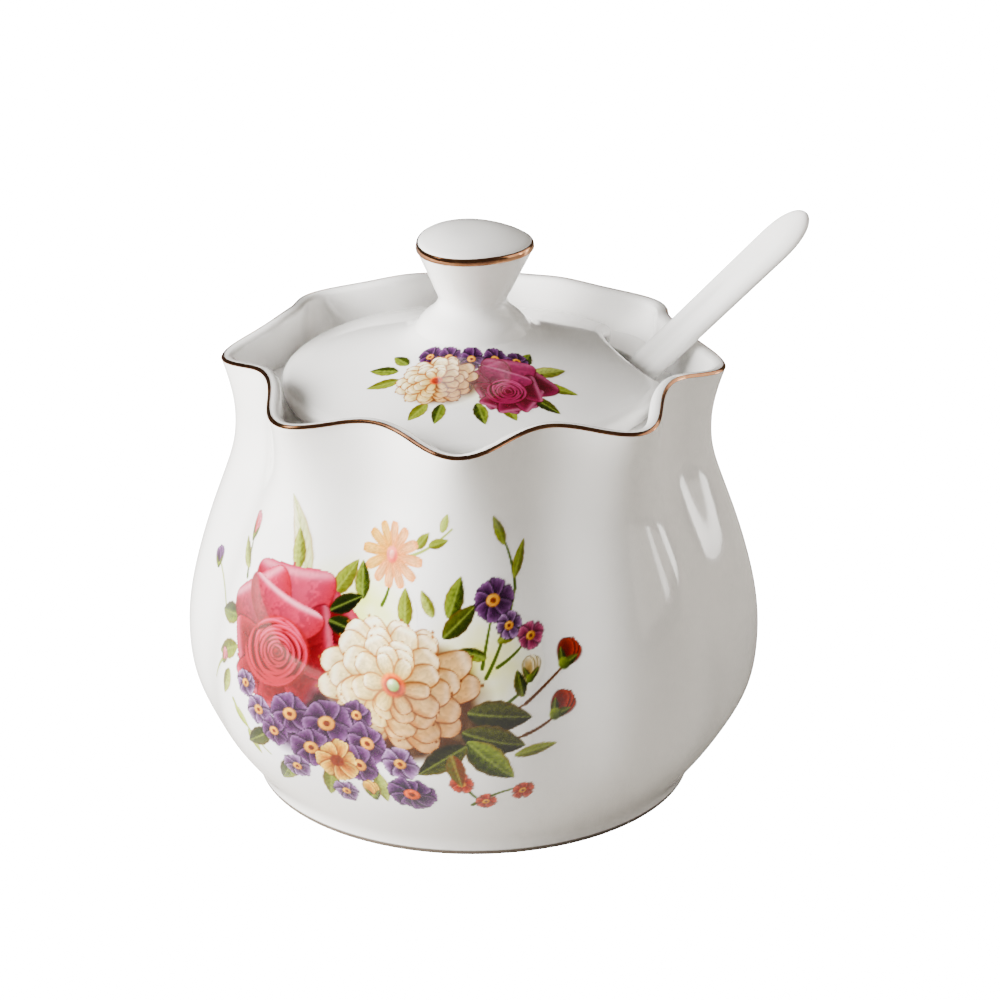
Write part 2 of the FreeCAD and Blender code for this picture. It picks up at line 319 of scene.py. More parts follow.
def build_bowl(material):
    wall = whole_wall(ROUND)
    sides = spline(wall, even_steps(wall, 0.9))
    ledge_wall = sides[-1]
    ledge_edge = level_ring(THROAT_RADIUS + 0.6, LEDGE_HEIGHT, ROUND)
    ledge = straight(ledge_wall, ledge_edge, 6)
    throat = turned_grid([(THROAT_RADIUS + 0.6, LEDGE_HEIGHT), (THROAT_RADIUS + 0.1, LEDGE_HEIGHT - 0.25),
                          (THROAT_RADIUS, LEDGE_HEIGHT - 0.8), (THROAT_RADIUS, THROAT_BOTTOM + 0.6),
                          (THROAT_RADIUS + 0.3, THROAT_BOTTOM - 0.1)] + CAVITY, ROUND, size=1.4)
    floor = straight(throat[-1], level_ring(0.05, CAVITY[-1][1], ROUND), 12)
    foot_out = level_ring(FOOT_RADIUS, 0.0, ROUND)
    recess_edge = level_ring(FOOT_RECESS_RADIUS, 0.0, ROUND)
    recess_top = level_ring(FOOT_RECESS_RADIUS - 0.5, FOOT_RECESS_DEPTH, ROUND)
    foot = straight(recess_edge, foot_out, 5)
    recess = straight(recess_top, recess_edge, 3)
    under = straight(level_ring(0.05, FOOT_RECESS_DEPTH, ROUND), recess_top, 10)
    glazed = skin_object("bowl_glaze", [under, recess, foot, sides, ledge, throat, floor],
                         "bowl", material)
    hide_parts("bowl_body")


def build_rim_gilding(material):
    pairs = [LIP_OUTSIDE[-1]] + LIP_CORNER
    shifts = [(1.0, 0.0), GILT_CORNER, (0.0, 1.0)]
    angles = np.linspace(0, 2 * math.pi, GILT_COLUMNS, endpoint=False)
    under = [lip_ring(*pair, angles) for pair in pairs]
    over = [lip_ring(pair[0] - shift[0] * GILT_THICKNESS, pair[1] - shift[1] * GILT_THICKNESS, angles)
            for pair, shift in zip(pairs, shifts)]
    band = spline([under[0]] + over + [under[-1]], [1, 4, 4, 1])
    inside = spline(under, [3, 3])[::-1]
    piece = skin_object("rim_gold_line", [band, inside], "bowl", material)
    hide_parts("rim_gilding")


# --- the lid ---

def notch_edge():
    """The lid's outline seen from above, a closed line of even steps with soft corners."""
    radius = LID_EDGE[2][0]
    turn = np.linspace(0, 2 * math.pi, OUTLINE_FINE, endpoint=False)
    ellipse = np.stack([NOTCH_CENTRE - NOTCH_REACH * np.cos(turn),
                        NOTCH_HALF_WIDTH * np.sin(turn)], axis=1)
    ellipse = ellipse[np.hypot(ellipse[:, 0], ellipse[:, 1]) < radius]
    ellipse = ellipse[np.argsort(ellipse[:, 1])]
    limit = math.atan2(ellipse[-1, 1], ellipse[-1, 0])
    arc = np.linspace(limit, 2 * math.pi - limit, OUTLINE_FINE)
    circle = np.stack([radius * np.cos(arc), radius * np.sin(arc)], axis=1)
    outline = even_closed(np.concatenate([ellipse, circle]), 2 * LID_COLUMNS)
    spacing = np.linalg.norm(outline[1] - outline[0])
    reach = int(3 * NOTCH_CORNER / spacing)
    weight = np.exp(-0.5 * (np.arange(-reach, reach + 1) * spacing / NOTCH_CORNER) ** 2)
    weight /= weight.sum()
    soft = sum(w * np.roll(outline, shift, axis=0) for w, shift in zip(weight, range(-reach, reach + 1)))
    soft = even_closed(soft, LID_COLUMNS)
    turn_cos, turn_sin = math.cos(NOTCH_TURN), math.sin(NOTCH_TURN)
    return soft @ np.array([[turn_cos, turn_sin], [-turn_sin, turn_cos]])


def even_closed(line, count):
    loop = np.concatenate([line, line[:1]])
    at = np.concatenate([[0.0], np.cumsum(np.linalg.norm(np.diff(loop, axis=0), axis=1))])
    want = np.linspace(0, at[-1], count, endpoint=False)
    return np.stack([np.interp(want, at, loop[:, axis]) for axis in range(2)], axis=1)


def profile_height(profile, radius):
    """Height of a turned profile at a radius, along a smooth line through its points."""
    line = spline(profile, [24] * (len(profile) - 1))
    order = np.argsort(line[:, 0])
    return np.interp(radius, line[order, 0], line[order, 1])


def dome_profile():
    return [SEAT] + LID_DOME[::-1] + [(38.7, 88.35)]


def build_lid(material):
    outline = notch_edge()
    along = np.roll(outline, -1, axis=0) - np.roll(outline, 1, axis=0)
    inward = np.stack([-along[:, 1], along[:, 0]], axis=1)
    inward /= np.linalg.norm(inward, axis=1, keepdims=True)
    edge_radius = np.hypot(outline[:, 0], outline[:, 1])
    in_notch = np.clip((LID_EDGE[2][0] - NOTCH_FADE[0] - edge_radius) / NOTCH_FADE[1], 0, 1)[:, None]

    def at(offset, height):
        place = outline + inward * offset
        return np.concatenate([place, np.broadcast_to(height, (len(place), 1))], axis=1)

    start = outline + inward * LID_ROUNDING
    start_radius = np.hypot(start[:, 0], start[:, 1])
    seat_ring = outline / edge_radius[:, None] * SEAT[0]
    dome = []
    for share in np.linspace(0, 1, 56):
        place = seat_ring * (1 - share) + start * share
        height = profile_height(dome_profile(), np.hypot(place[:, 0], place[:, 1]))
        dome.append(np.concatenate([place, height[:, None]], axis=1))
    top = profile_height(dome_profile(), start_radius)[:, None]
    rim_low = np.full_like(top, LID_UNDER)
    shell_low = top - LID_THICKNESS
    low = rim_low * (1 - in_notch) + np.maximum(shell_low, rim_low) * in_notch
    widest = top - LID_WIDEST
    edge = [at(LID_ROUNDING, top), at(0.95, top - 0.42), at(0.35, top - 0.95), at(0.0, widest),
            at(0.12, widest * 0.45 + low * 0.55), at(0.5, low + 0.35), at(1.1, low)]
    edge = spline(edge, [4, 4, 4, 4, 4, 4])
    ray = outline / edge_radius[:, None]
    collar_line = ray * np.minimum(edge_radius - COLLAR_SET_IN[0], COLLAR_RADIUS)[:, None]
    collar_in = ray * np.minimum(edge_radius - COLLAR_SET_IN[1], COLLAR_INSIDE)[:, None]
    flat = np.concatenate([collar_line, low], axis=1)
    collar_low = COLLAR_BOTTOM * (1 - in_notch) + (low - 0.05) * in_notch
    collar_foot = np.concatenate([collar_line, collar_low], axis=1)
    collar_foot_in = np.concatenate([collar_in, collar_low], axis=1)
    hollow_start = profile_height(LID_HOLLOW, np.hypot(collar_in[:, 0], collar_in[:, 1]))[:, None]
    collar_top_in = np.concatenate([collar_in, np.maximum(hollow_start, collar_low)], axis=1)
    hollow = []
    for share in np.linspace(0, 1, 24):
        place = collar_in * (1 - share) + outline / edge_radius[:, None] * 0.05 * share
        height = profile_height(LID_HOLLOW, np.hypot(place[:, 0], place[:, 1]))[:, None]
        hollow.append(np.concatenate([place, height], axis=1))
    grids = [np.array(dome), edge, straight(edge[-1], flat, 4), straight(flat, collar_foot, 4),
             straight(collar_foot, collar_foot_in, 4), straight(collar_foot_in, collar_top_in, 4),
             np.array(hollow)]
    piece = skin_object("lid_glaze", grids, "lid", material)
    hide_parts("lid_shell")


def knob_ring(radius, height, sided, angles, proud=0.0):
    bulge = 1 + sided * np.cos(KNOB_SIDES * (angles - KNOB_TURN))
    return level_ring(radius * bulge + proud, height, angles)


def build_knob(material):
    angles = np.linspace(0, 2 * math.pi, 192, endpoint=False)
    rows = [knob_ring(*row, angles) for row in KNOB_STEM + KNOB_BAND + KNOB_CROWN]
    lead_in = [level_ring(radius, height, angles) for radius, height in LID_DOME[-2:]]
    surface = spline(lead_in + rows, [KNOB_STEPS] * (len(rows) + 1))
    piece = skin_object("knob_glaze", [surface[KNOB_STEPS * len(lead_in):]], "lid", material)
    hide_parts("lid_knob")


def build_knob_gilding(material):
    angles = np.linspace(0, 2 * math.pi, 384, endpoint=False)
    under = [knob_ring(*row, angles) for row in KNOB_BAND]
    over = [knob_ring(*row, angles, proud=GILT_THICKNESS) for row in KNOB_BAND]
    band = spline([under[0]] + over + [under[-1]], [1, 5, 5, 1])
    piece = skin_object("knob_gold_band", [band, spline(under, [4, 4])[::-1]], "lid", material)
    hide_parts("knob_gilding")


# --- the spoon ---

def spoon_axes():
    along = np.array([math.sin(SPOON_LEAN) * math.cos(SPOON_TURN),
                      math.sin(SPOON_LEAN) * math.sin(SPOON_TURN), math.cos(SPOON_LEAN)])
    level = np.array([-math.sin(SPOON_TURN), math.cos(SPOON_TURN), 0])
    below = np.cross(level, along)
    across = level * math.cos(SPOON_TWIST) - below * math.sin(SPOON_TWIST)
    face = np.cross(along, across)
    crossing = np.array([SPOON_CROSSING[0] * math.cos(SPOON_TURN),
                         SPOON_CROSSING[0] * math.sin(SPOON_TURN), SPOON_CROSSING[1]])
    return across, face, along, crossing - along * CROSSING_FROM_BOWL + face * HANDLE_DROP


def spoon_section(at, turn):
    """Points round the spoon at one distance along it, in (across, out of the hollow)."""
    half_length, half_width, depth = SPOON_BOWL
    handle = np.array(HANDLE)
    tip_start = HANDLE[-1][0]
    beyond = max(0.0, at - tip_start) / (TIP_END - tip_start)
    left = math.sqrt(max(1e-6, 1 - beyond ** TIP_FULLNESS))
    hand_half = np.interp(at, handle[:, 0], handle[:, 1]) / 2 * left
    hand_thick = np.interp(at, handle[:, 0], handle[:, 2]) / 2 * left ** TIP_THINNING
    inside = max(0.0, 1 - (at / half_length) ** 2)
    bowl_half = half_width * math.sqrt(inside)
    bowl_depth = depth * math.sqrt(inside)
    opening = math.sqrt(max(0.0, 1 - (at / (half_length - HOLLOW_END)) ** 2))
    hollow_half = (half_width - SPOON_BOWL_WALL * HOLLOW_SIDE) * opening
    hollow_depth = (depth - SPOON_BOWL_WALL) * opening
    across, up = np.cos(turn), np.sin(turn)
    deepening = np.clip((at - GROOVE_START[0]) / GROOVE_START[1], 0, 1)
    fading = np.clip((GROOVE_STOP[0] - at) / GROOVE_STOP[1], 0, 1)
    groove = GROOVE_DEPTH * deepening * fading
    hollow = groove * np.exp(-(across / GROOVE_WIDTH) ** 2) * np.clip(up, 0, 1)
    hand = np.stack([hand_half * across, hand_thick * up - hollow - HANDLE_DROP], axis=1)
    if at > half_length + HANDLE_ALONE:
        return hand
    bowl_x = bowl_half * np.sign(across) * np.abs(across) ** 0.9
    lower = -bowl_depth * np.sqrt(np.clip(1 - (bowl_x / max(bowl_half, 1e-6)) ** 2, 0, 1))
    dish = np.clip(1 - (bowl_x / max(hollow_half, 1e-6)) ** 2, 0, 1)
    upper = -hollow_depth * np.sqrt(dish) if hollow_half > 0.5 else np.zeros_like(bowl_x)
    bowl = np.stack([bowl_x, np.where(up < 0, lower, upper)], axis=1)
    share = np.clip((at - BOWL_TO_HANDLE[0]) / BOWL_TO_HANDLE[1], 0, 1)
    share = share * share * (3 - 2 * share)
    wide = np.sqrt((bowl[:, :1] * (1 - share)) ** 2 + (hand[:, :1]) ** 2 * share) * np.sign(hand[:, :1])
    return np.concatenate([wide, bowl[:, 1:] * (1 - share) + hand[:, 1:] * share], axis=1)


def build_spoon(material):
    turn = np.linspace(0, 2 * math.pi, 96, endpoint=False)
    lead = -SPOON_BOWL[0] * np.cos(np.linspace(0.02, math.pi / 2, 26))
    tip_start = HANDLE[-1][0]
    middle = np.linspace(0.5, tip_start, 150)
    tip = tip_start + (TIP_END - tip_start) * np.sin(np.linspace(0.08, math.pi / 2, 20))
    stations = np.concatenate([lead, middle, tip])
    rows = [np.concatenate([spoon_section(at, turn), np.full((len(turn), 1), at)], axis=1) for at in stations]
    local = np.array(rows)
    across, face, along, origin = spoon_axes()
    grid = origin + local[..., :1] * across + local[..., 1:2] * face + local[..., 2:3] * along
    piece = skin_object("spoon_glaze_body", [grid[:, ::-1]], "spoon", material)
    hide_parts("spoon")


# --- the painter: ceramic colours laid on a fine mesh ---

def mixed(first, second, share):
    return first * (1 - share) + second * share


class Canvas:
    """A level sheet of cells in millimetres that holds colour and cover."""

    def __init__(self, left, right, low, high, cell, white):
        self.across = np.arange(left, right + cell / 2, cell)
        self.up = np.arange(low, high + cell / 2, cell)
        self.u, self.v = np.meshgrid(self.across, self.up)
        self.cell = cell
        self.colour = np.ones(self.u.shape + (3,)) * np.array(white)
        self.cover = np.zeros(self.u.shape)
        self.random = np.random.default_rng(SEED)
        self.grain = self.cloud(0.55)
        self.wash_grain = self.cloud(2.2)

    def cloud(self, size):
        """Soft random blotches between 0 and 1."""
        rows = int((self.up[-1] - self.up[0]) / size) + 3
        columns = int((self.across[-1] - self.across[0]) / size) + 3
        coarse = self.random.random((rows, columns))
        y = (self.up - self.up[0]) / size
        x = (self.across - self.across[0]) / size
        row, column = y.astype(int), x.astype(int)
        fy, fx = (y - row)[:, None], (x - column)[None, :]
        fy, fx = fy * fy * (3 - 2 * fy), fx * fx * (3 - 2 * fx)
        first = mixed(coarse[row][:, column], coarse[row][:, column + 1], fx)
        second = mixed(coarse[row + 1][:, column], coarse[row + 1][:, column + 1], fx)
        return mixed(first, second, fy)

    def window(self, u, v, reach):
        columns = np.searchsorted(self.across, [u - reach, u + reach])
        rows = np.searchsorted(self.up, [v - reach, v + reach])
        return slice(rows[0], rows[1]), slice(columns[0], columns[1])

    def lay(self, where, mask, colour):
        if mask.size == 0:
            return
        mask = np.clip(mask, 0, 1)
        self.colour[where] = mixed(self.colour[where], colour, mask[..., None])
        self.cover[where] = 1 - (1 - self.cover[where]) * (1 - mask)

    def axes(self, u, v, turn, length, width, curl):
        """The cells round a petal or leaf, and how far along and beside it they lie."""
        where = self.window(u, v, length * 1.2 + width)
        du, dv = self.u[where] - u, self.v[where] - v
        along = (du * math.cos(turn) + dv * math.sin(turn)) / length
        beside = -du * math.sin(turn) + dv * math.cos(turn)
        return where, along, beside - curl * length * np.clip(along, 0, 1.2) ** 2

    def petal(self, u, v, turn, length, width, base, tip, edge, fullness, point, shade, veins=0.0,
              curl=0.0, outline=None, rim=0.0):
        """One petal from its base at (u, v), pointing along turn."""
        where, along, beside = self.axes(u, v, turn, length, width, curl)
        share = np.clip(along, 0, 1)
        peak = fullness ** fullness * (1 - fullness) ** (1 - fullness)
        spread = (share ** fullness * (1 - share) ** (point * (1 - fullness) / 0.45)) / peak
        half = width / 2 * np.clip(spread, 0, 1.3) + 1e-4
        t = beside / half
        soft = self.cell * 0.9
        inside = np.clip((half - np.abs(beside)) / soft + 0.5, 0, 1) * (along > -0.02) * (along < 1.0)
        if outline is not None:
            grown = half + OUTLINE_WIDTH
            ring = np.clip((grown - np.abs(beside)) / (soft * 2) + 0.5, 0, 1) * (along > 0.0) * (along < 1.04)
            self.lay(where, ring * 0.85, np.array(outline))
        colour = mixed(np.array(base), np.array(tip), share[..., None])
        closeness = np.clip(np.maximum(np.abs(t) ** 2.2, share ** 5), 0, 1)[..., None]
        colour = mixed(colour, np.array(edge), closeness)
        lit = 1 - shade * np.clip(t * 0.5 + 0.5, 0, 1) * 0.6 - shade * 0.4 * (1 - share)
        if veins:
            streak = np.sin(t * 11 + 6 * self.grain[where]) * 0.5 + 0.5
            lit = lit * (1 - veins * streak * (1 - share * 0.4))
        lit = lit * (0.94 + 0.12 * self.grain[where])
        colour = colour * lit[..., None]
        if rim:
            bright = np.exp(-((share - 0.93) / 0.07) ** 2)[..., None] * rim
            colour = mixed(colour, np.array(RIM_SHINE), bright)
        self.lay(where, inside, colour)

    def leaf(self, u, v, turn, length, width, dark, light, curl=0.0):
        """One leaf with a pale rib, side veins and a rusty margin."""
        where, along, beside = self.axes(u, v, turn, length, width, curl)
        share = np.clip(along, 0, 1)
        notch = 1 + 0.03 * np.sin(share * 30)
        half = width / 2 * np.sin(math.pi * share ** 0.82) ** 0.85 * notch + 1e-4
        t = np.clip(beside / half, -1.5, 1.5)
        soft = self.cell * 0.9
        inside = np.clip((half - np.abs(beside)) / soft + 0.5, 0, 1) * (along > 0) * (along < 1)
        slant = (np.sin((share * 7.5 - np.abs(t) * 1.6) * math.pi)) / 0.35
        vein = np.exp(-slant ** 2) * np.clip(1 - np.abs(t), 0, 1)
        upper = np.clip(0.5 + 0.9 * t, 0, 1)
        mix = np.clip(0.15 + 0.6 * upper + 0.35 * (self.grain[where] - 0.5), 0, 1)[..., None]
        colour = mixed(np.array(dark), np.array(light), mix)
        colour = colour * (1 - 0.22 * vein[..., None])
        margin = np.clip((np.abs(t) - 0.72) / 0.28, 0, 1)[..., None] * LEAF_RUST
        colour = mixed(colour, np.array(RUST), margin)
        middle = np.exp(-(beside / (0.16 + 0.16 * (1 - share))) ** 2)[..., None] * 0.5
        colour = mixed(colour, np.array(LEAF_RIB), middle)
        self.lay(where, inside, colour)

    def dab(self, u, v, half, soft, hard, colour, opacity=1.0):
        """One round touch of the brush."""
        where = self.window(u, v, half + self.cell * 2)
        away = np.hypot(self.u[where] - u, self.v[where] - v)
        self.lay(where, np.clip((half - away) / (self.cell * soft) + hard, 0, 1) * opacity, np.array(colour))

    def line(self, points, width, colour, end_width):
        """A stem along a quadratic curve through three points."""
        start, bend, end = (np.array(point, float) for point in points)
        length = np.linalg.norm(bend - start) + np.linalg.norm(end - bend)
        count = max(8, int(length / self.cell * 1.3))
        for step in range(count + 1):
            share = step / count
            place = start * (1 - share) ** 2 + 2 * bend * share * (1 - share) + end * share ** 2
            self.dab(place[0], place[1], (width + (end_width - width) * share) / 2, 0.9, 0.5, colour)

    def arc(self, u, v, wide, tall, start, end, width, colour, opacity):
        """A curved brush stroke that swells in its middle, round an oval between two angles."""
        length = abs(end - start) * (wide + tall) / 2
        count = max(6, int(length / self.cell * 1.2))
        for step in range(count + 1):
            share = step / count
            turn = start + (end - start) * share
            here = width / 2 * math.sin(math.pi * share) ** 0.6 + 0.02
            self.dab(u + wide * math.cos(turn), v + tall * math.sin(turn), here, 1.4, 0.4, colour, opacity)

    def ball(self, u, v, wide, tall, light, dark, soft=0.25):
        """A shaded round or oval, lit from the upper left."""
        where = self.window(u, v, max(wide, tall))
        du, dv = self.u[where] - u, self.v[where] - v
        away = np.hypot(du / (wide / 2), dv / (tall / 2))
        lit = np.clip(0.55 + 0.45 * (-du / wide + dv / tall) * 1.6, 0, 1)[..., None]
        colour = mixed(np.array(dark), np.array(light), lit)
        colour = colour * (0.92 + 0.16 * self.grain[where])[..., None]
        self.lay(where, np.clip((1 - away) / soft, 0, 1), colour)

    def wash(self, u, v, wide, tall, colour, opacity, firm=1.0):
        """A soft airbrushed patch; firm fills more of it before it fades."""
        where = self.window(u, v, max(wide, tall))
        away = np.hypot((self.u[where] - u) / (wide / 2), (self.v[where] - v) / (tall / 2))
        mask = np.clip((1 - away) * firm, 0, 1) ** 1.3 * (0.55 + 0.9 * self.wash_grain[where])
        self.lay(where, mask * opacity, np.array(colour))


def shade_of(first, second, share):
    return tuple(mixed(np.array(first), np.array(second), share))


IVORY = (0.93, 0.89, 0.74)
CREAM = (0.95, 0.92, 0.83)
BUTTER = (0.87, 0.76, 0.44)
TAN = (0.62, 0.40, 0.19)
BROWN = (0.33, 0.17, 0.07)
CRIMSON = (0.44, 0.01, 0.08)
ROSE = (0.56, 0.03, 0.16)
PINK = (0.70, 0.15, 0.31)
BLUSH = (0.86, 0.62, 0.70)
WINE = (0.32, 0.05, 0.09)
VIOLET = (0.22, 0.08, 0.22)
LILAC = (0.44, 0.24, 0.45)
PALE_LILAC = (0.64, 0.48, 0.66)
GOLDEN = (0.86, 0.66, 0.18)
STRAW = (0.84, 0.71, 0.36)
LEAF_DARK = (0.08, 0.10, 0.03)
LEAF_DEEP = (0.16, 0.20, 0.05)
LEAF_OLIVE = (0.36, 0.37, 0.10)
LEAF_LIME = (0.55, 0.60, 0.20)
LEAF_PALE = (0.70, 0.74, 0.42)
RUST = (0.45, 0.20, 0.06)
CORAL = (0.84, 0.36, 0.24)
RIM_SHINE = (1.0, 0.97, 0.93)
LEAF_RIB = (0.60, 0.64, 0.34)
LEAF_RUST = 0.35                    # strength of a leaf's rusty margin
OUTLINE_WIDTH = 0.28
UMBER = (0.30, 0.17, 0.07)


DAHLIA_RINGS = [                    # reach, petals and petal width, as shares of the radius
    (1.0, 13, 0.40),
    (0.84, 11, 0.38),
    (0.66, 9, 0.38),
    (0.50, 8, 0.30),
    (0.34, 6, 0.20),
]


def dahlia(canvas, u, v, radius, squash=0.8, bead=True):
    """A full cream dahlia of shell-shaped petals, white above, amber inside, brown to the lower right."""
    random = np.random.default_rng(SEED + 1)
    canvas.wash(u + radius * 0.12, v - radius * 0.10, radius * 2.1, radius * 2.0 * squash, UMBER, 1.0, 3.0)
    for ring_number, (reach, count, wide) in enumerate(DAHLIA_RINGS):
        for place in range(count):
            turn = 2 * math.pi * (place + 0.5 * (ring_number % 2)) / count + random.uniform(-0.12, 0.12)
            length = radius * reach * random.uniform(0.90, 1.05)
            stretch = math.hypot(math.cos(turn), squash * math.sin(turn))
            lit = 0.5 + 0.5 * math.cos(turn - math.radians(125))
            warm = max(0.0, math.cos(turn - math.radians(-120)))
            tan = max(0.0, math.cos(turn - math.radians(-25))) ** 0.8
            outer = shade_of(shade_of(IVORY, CREAM, lit), BUTTER, 0.30 * warm)
            outer = shade_of(outer, (0.74, 0.56, 0.34), 0.75 * tan * reach)
            inner = shade_of(STRAW, TAN, 0.15 + 0.60 * tan)
            edge = shade_of(STRAW, TAN, 0.3 + 0.7 * tan)
            edge = shade_of(edge, IVORY, 0.45 * lit)
            start = radius * 0.10 * ring_number / len(DAHLIA_RINGS)
            canvas.petal(u + start * math.cos(turn), v + start * math.sin(turn), turn, length * stretch,
                         radius * wide, inner, outer, edge=edge, fullness=0.66, point=0.55, shade=0.18,
                         veins=0.12, curl=random.uniform(-0.06, 0.06),
                         outline=shade_of(TAN, BROWN, 0.25 + 0.75 * tan), rim=0.20 + 0.40 * lit)
    canvas.ball(u, v, radius * 0.34, radius * 0.31, (0.86, 0.46, 0.14), (0.56, 0.20, 0.04))
    canvas.ball(u, v, radius * 0.24, radius * 0.21, (0.60, 0.22, 0.05), (0.42, 0.13, 0.03))
    if bead:
        canvas.ball(u, v, radius * 0.17, radius * 0.16, (0.80, 0.86, 0.68), (0.34, 0.44, 0.16))
        shine = radius * 0.03
        canvas.ball(u - shine, v + shine, radius * 0.06, radius * 0.05, CREAM, (0.8, 0.85, 0.7))


def rose_cup(canvas, u, v, radius, deep, mid, light, shine):
    """The tightly wound middle of a rose, petal edges curling round its heart."""
    random = np.random.default_rng(SEED + 2)
    canvas.ball(u, v, radius * 2.0, radius * 1.9, mid, deep, soft=0.08)
    turns = 8
    for winding in range(turns):
        reach = radius * (0.94 - 0.86 * winding / turns)
        count = 4 if winding < 5 else 3
        for place in range(count):
            start = 2 * math.pi * place / count + winding * 0.9 + random.uniform(-0.15, 0.15)
            end = start + 2 * math.pi / count * random.uniform(1.0, 1.25)
            drift = random.uniform(-0.20, 0.20) * reach
            width = radius * (0.115 - 0.008 * winding)
            above = 0.5 + 0.5 * math.sin((start + end) / 2)
            bright = shade_of(shade_of(mid, light, 0.25 + 0.5 * above), shine, 0.35 * above)
            strokes = [
                (0.92, 0.84, 0.0, width * 2.0, shade_of(deep, WINE, 0.6), 0.95),
                (1.0, 0.92, 0.0, width, shade_of(mid, light, 0.3), 0.9),
                (1.03, 0.95, 0.1, width * 0.50, bright, 0.95)]
            for wide, tall, short, thick, colour, opacity in strokes:
                canvas.arc(u + drift, v, reach * wide, reach * tall, start + short, end - short, thick,
                           colour, opacity)
    canvas.ball(u, v, radius * 0.18, radius * 0.16, mid, WINE)


def rose(canvas, u, v, radius, deep=CRIMSON, mid=ROSE, light=PINK, shine=BLUSH, pale=1.0):
    """A garden rose: a pale folded petal above left, a deep one to the right, and the wound cup below."""
    def petal(across, up, turn, length, width, base, tip, edge, fullness, point, shade, veins, outline, rim):
        canvas.petal(u + across * radius, v + up * radius, math.radians(turn), radius * length,
                     radius * width, base, tip, edge, fullness, point, shade, veins,
                     outline=outline, rim=rim)

    petal(0.15, -0.35, 52, 1.20, 1.35, WINE, shade_of(deep, mid, 0.35), shade_of(mid, light, 0.35),
          0.62, 0.28, 0.4, 0.14, WINE, 0.2)
    petal(-0.05, -0.25, 92, 1.25, 1.30, shade_of(deep, mid, 0.6), shade_of(light, shine, 0.45 * pale),
          shade_of(mid, light, 0.5), 0.66, 0.26, 0.25, 0.10, shade_of(deep, mid, 0.4), 0.35 * pale)
    petal(-0.15, -0.30, 128, 1.15, 1.15, shade_of(deep, mid, 0.5), shade_of(light, shine, 0.35 * pale),
          shade_of(mid, light, 0.35), 0.66, 0.26, 0.25, 0.12, shade_of(deep, mid, 0.3), 0.4 * pale)
    for turn in (205, 250, 290, 335, 15):
        petal(-0.08, -0.30, turn, 0.92, 0.95, WINE, shade_of(deep, mid, 0.55), shade_of(mid, light, 0.45),
              0.74, 0.22, 0.30, 0.12, WINE, 0.25)
    petal(-0.30, -0.15, 75, 0.72, 1.30, mid, shade_of(light, shine, 0.3 * pale), shade_of(mid, light, 0.4),
          0.60, 0.24, 0.2, 0.16, deep, 0.5 * pale)
    rose_cup(canvas, u - 0.10 * radius, v - 0.36 * radius, radius * 0.60, deep, mid, light, shine)


def blossom(canvas, u, v, radius, count, dark, light, centre, turn=0.0, squash=1.0, wide=0.62):
    """A small open flower with a round centre."""
    random = np.random.default_rng(int(abs(u * 31 + v * 17)) + SEED)
    for place in range(count):
        at = turn + 2 * math.pi * place / count + random.uniform(-0.12, 0.12)
        stretch = math.hypot(math.cos(at), squash * math.sin(at))
        shade = random.uniform(0.0, 0.5)
        canvas.petal(u, v, at, radius * stretch * random.uniform(0.9, 1.08), radius * wide, dark,
                     shade_of(light, dark, shade), edge=shade_of(light, (1, 1, 1), 0.25), fullness=0.68,
                     point=0.28, shade=0.35, veins=0.2, outline=shade_of(dark, (0, 0, 0), 0.4))
    canvas.ball(u, v, radius * 0.78, radius * 0.68, centre, shade_of(centre, RUST, 0.5))
    canvas.ball(u, v, radius * 0.34, radius * 0.28, RUST, shade_of(RUST, BROWN, 0.6))


def bud(canvas, u, v, length, width, turn, deep, light):
    """A closed bud that points along turn, with a sepal each side of its base."""
    for side in (-0.45, 0.0, 0.45):
        canvas.petal(u, v, turn + side * 0.5, length * (1 - 0.12 * abs(side)), width * 0.75, deep,
                     shade_of(deep, light, 0.6 if side <= 0 else 0.25), edge=light, fullness=0.55, point=0.45,
                     shade=0.3, outline=shade_of(deep, (0, 0, 0), 0.4))
    for side in (-0.55, 0.55):
        canvas.leaf(u - 0.1 * length * math.cos(turn), v - 0.1 * length * math.sin(turn), turn + side,
                    length * 0.72, width * 0.40, LEAF_DEEP, LEAF_OLIVE)
    canvas.ball(u, v, width * 0.62, width * 0.62, LEAF_LIME, LEAF_DEEP)

# --- the printed sprays ---
# On the bowl: millimetres round the wall from the middle of the front, and up the wall from the foot.
# On the lid: millimetres to the right of the centre and behind it.

def paint_bowl():
    canvas = Canvas(*BOWL_PRINT, PRINT_CELL, PORCELAIN_WHITE)
    canvas.wash(-17, 60, 34, 24, (0.76, 0.80, 0.34), 0.75)
    canvas.wash(11, 53, 30, 24, (0.80, 0.80, 0.40), 0.75)
    canvas.wash(-29, 30, 30, 18, (0.70, 0.66, 0.80), 0.22)
    canvas.wash(6, 36, 36, 14, (0.74, 0.72, 0.42), 0.30)
    bowl_stems(canvas)
    bowl_back_leaves(canvas)
    bowl_small_flowers(canvas)
    rose(canvas, -31, 53.5, 13.4)
    canvas.leaf(-22, 59, math.radians(28), 8, 4.0, LEAF_DARK, LEAF_DEEP)
    canvas.leaf(-22, 57, math.radians(-15), 8, 4.0, LEAF_DARK, LEAF_DEEP)
    canvas.wash(-18, 39, 18, 12, (0.22, 0.12, 0.14), 1.0, 2.5)
    canvas.wash(7, 39.5, 20, 14, (0.24, 0.17, 0.09), 1.0, 2.5)
    canvas.wash(-3, 35, 18, 8, (0.26, 0.17, 0.12), 1.0, 2.0)
    dahlia(canvas, -5.7, 47, 17.6)
    bowl_purple_cluster(canvas)
    bowl_front_leaves(canvas)
    return canvas


